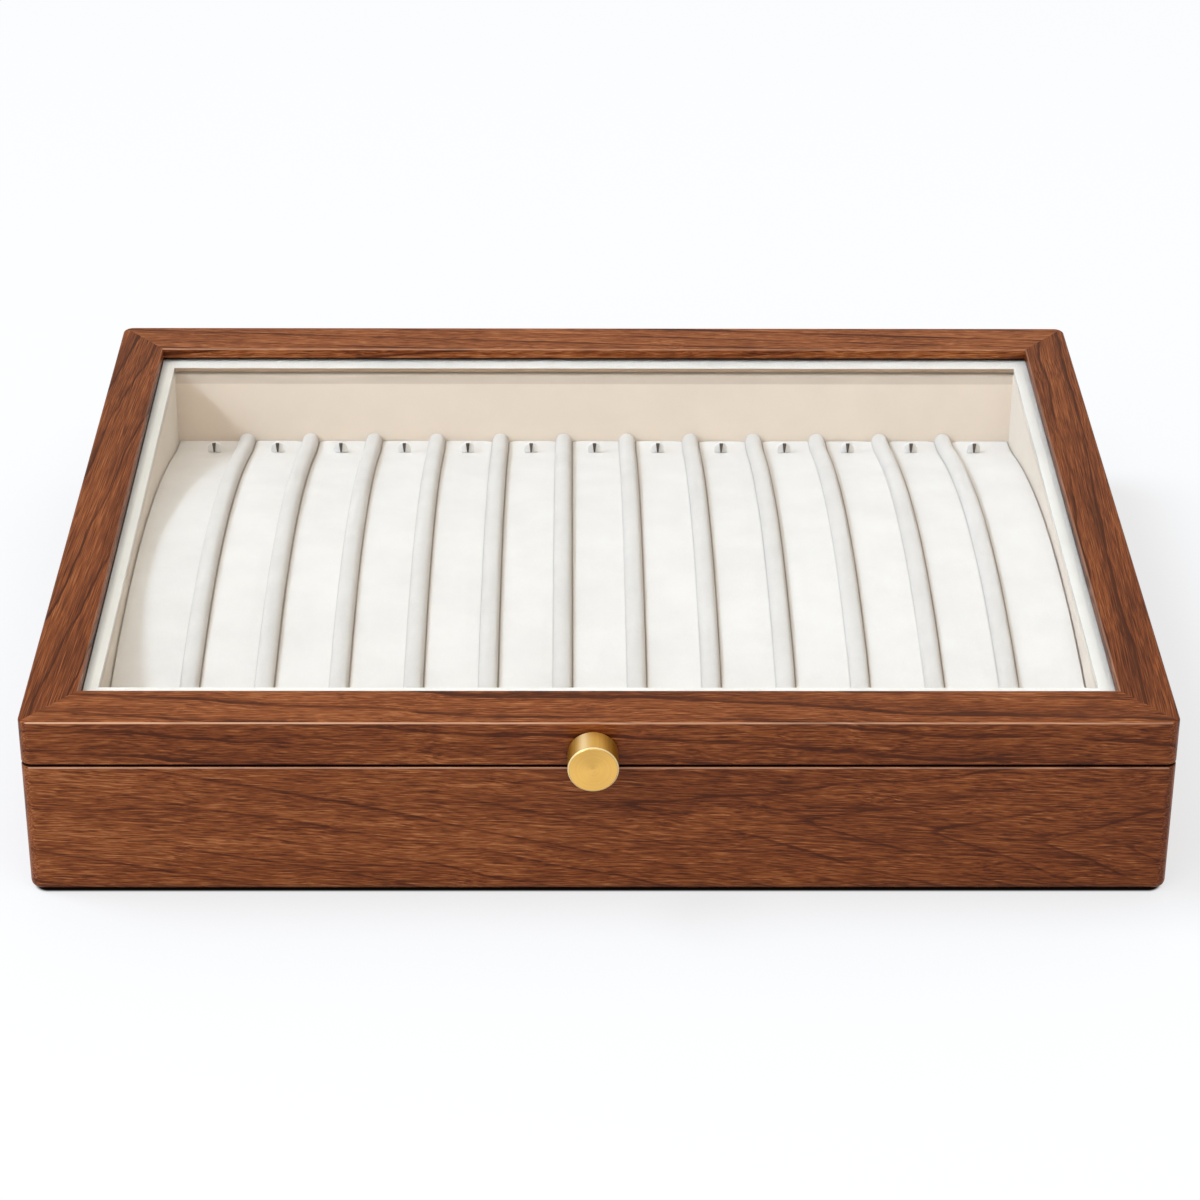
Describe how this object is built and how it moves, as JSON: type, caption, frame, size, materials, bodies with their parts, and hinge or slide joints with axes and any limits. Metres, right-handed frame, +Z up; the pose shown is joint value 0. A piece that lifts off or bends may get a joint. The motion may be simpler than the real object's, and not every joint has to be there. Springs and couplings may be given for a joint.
{
  "type": "glass top jewelry box",
  "caption": "Flat walnut jewelry box whose hinged glass lid lifts by a round brass knob over a curved suede necklace pad with rolled dividers and hooks.",
  "frame": {"origin": "on the table, under the middle of the walnut case", "axes": "+Z up, front with the knob towards -Y, +X to the right seen from the front"},
  "size_m": [0.35, 0.3002, 0.0605],
  "materials": {
    "walnut": "satin",
    "panel_wood": "raw",
    "felt": "felt",
    "beige_suede": "suede",
    "foam": "foam",
    "cream_suede": "suede",
    "white_tab": "matte",
    "dark_steel": "dark",
    "brass": "brushed",
    "screw_steel": "plated",
    "magnet_plating": "plated",
    "bumper": "soft",
    "glass": "clear",
    "white_frame": "matte"
  },
  "bodies": {
    "base": {"base_wall_front": "walnut", "base_wall_back": "walnut", "base_wall_left": "walnut", "base_wall_right": "walnut", "bottom_panel": "panel_wood", "felt_sheet": "felt", "lining_front": "beige_suede", "lining_back": "beige_suede", "lining_left": "beige_suede", "lining_right": "beige_suede", "pad_core": "foam", "necklace_pad": "cream_suede", "divider_01": "cream_suede", "divider_02": "cream_suede", "divider_03": "cream_suede", "divider_04": "cream_suede", "divider_05": "cream_suede", "divider_06": "cream_suede", "divider_07": "cream_suede", "divider_08": "cream_suede", "divider_09": "cream_suede", "divider_10": "cream_suede", "divider_11": "cream_suede", "divider_12": "cream_suede", "hook_tab_01": "white_tab", "hook_tab_02": "white_tab", "hook_tab_03": "white_tab", "hook_tab_04": "white_tab", "hook_tab_05": "white_tab", "hook_tab_06": "white_tab", "hook_tab_07": "white_tab", "hook_tab_08": "white_tab", "hook_tab_09": "white_tab", "hook_tab_10": "white_tab", "hook_tab_11": "white_tab", "hook_tab_12": "white_tab", "hook_tab_13": "white_tab", "hook_pins": "dark_steel", "base_magnets": "magnet_plating", "hinge_base_leaf_left": "brass", "hinge_base_leaf_right": "brass", "hinge_pins": "brass", "hinge_screws_base": "screw_steel", "seam_bumpers": "bumper"},
    "lid": {"lid_rail_front": "walnut", "lid_rail_back": "walnut", "lid_rail_left": "walnut", "lid_rail_right": "walnut", "glass_pane": "glass", "glass_retainer_front": "white_frame", "glass_retainer_back": "white_frame", "glass_retainer_left": "white_frame", "glass_retainer_right": "white_frame", "knob": "brass", "knob_screw": "screw_steel", "lid_magnets": "magnet_plating", "hinge_lid_leaf_left": "brass", "hinge_lid_leaf_right": "brass", "hinge_screws_lid": "screw_steel"}
  },
  "joints": [
    {"name": "lid_hinge", "type": "hinge", "parent": "base", "child": "lid", "pos_m": [0, 0.1415, 0.04525], "axis": [-1, 0, 0], "range_deg": [0, 95]}
  ]
}
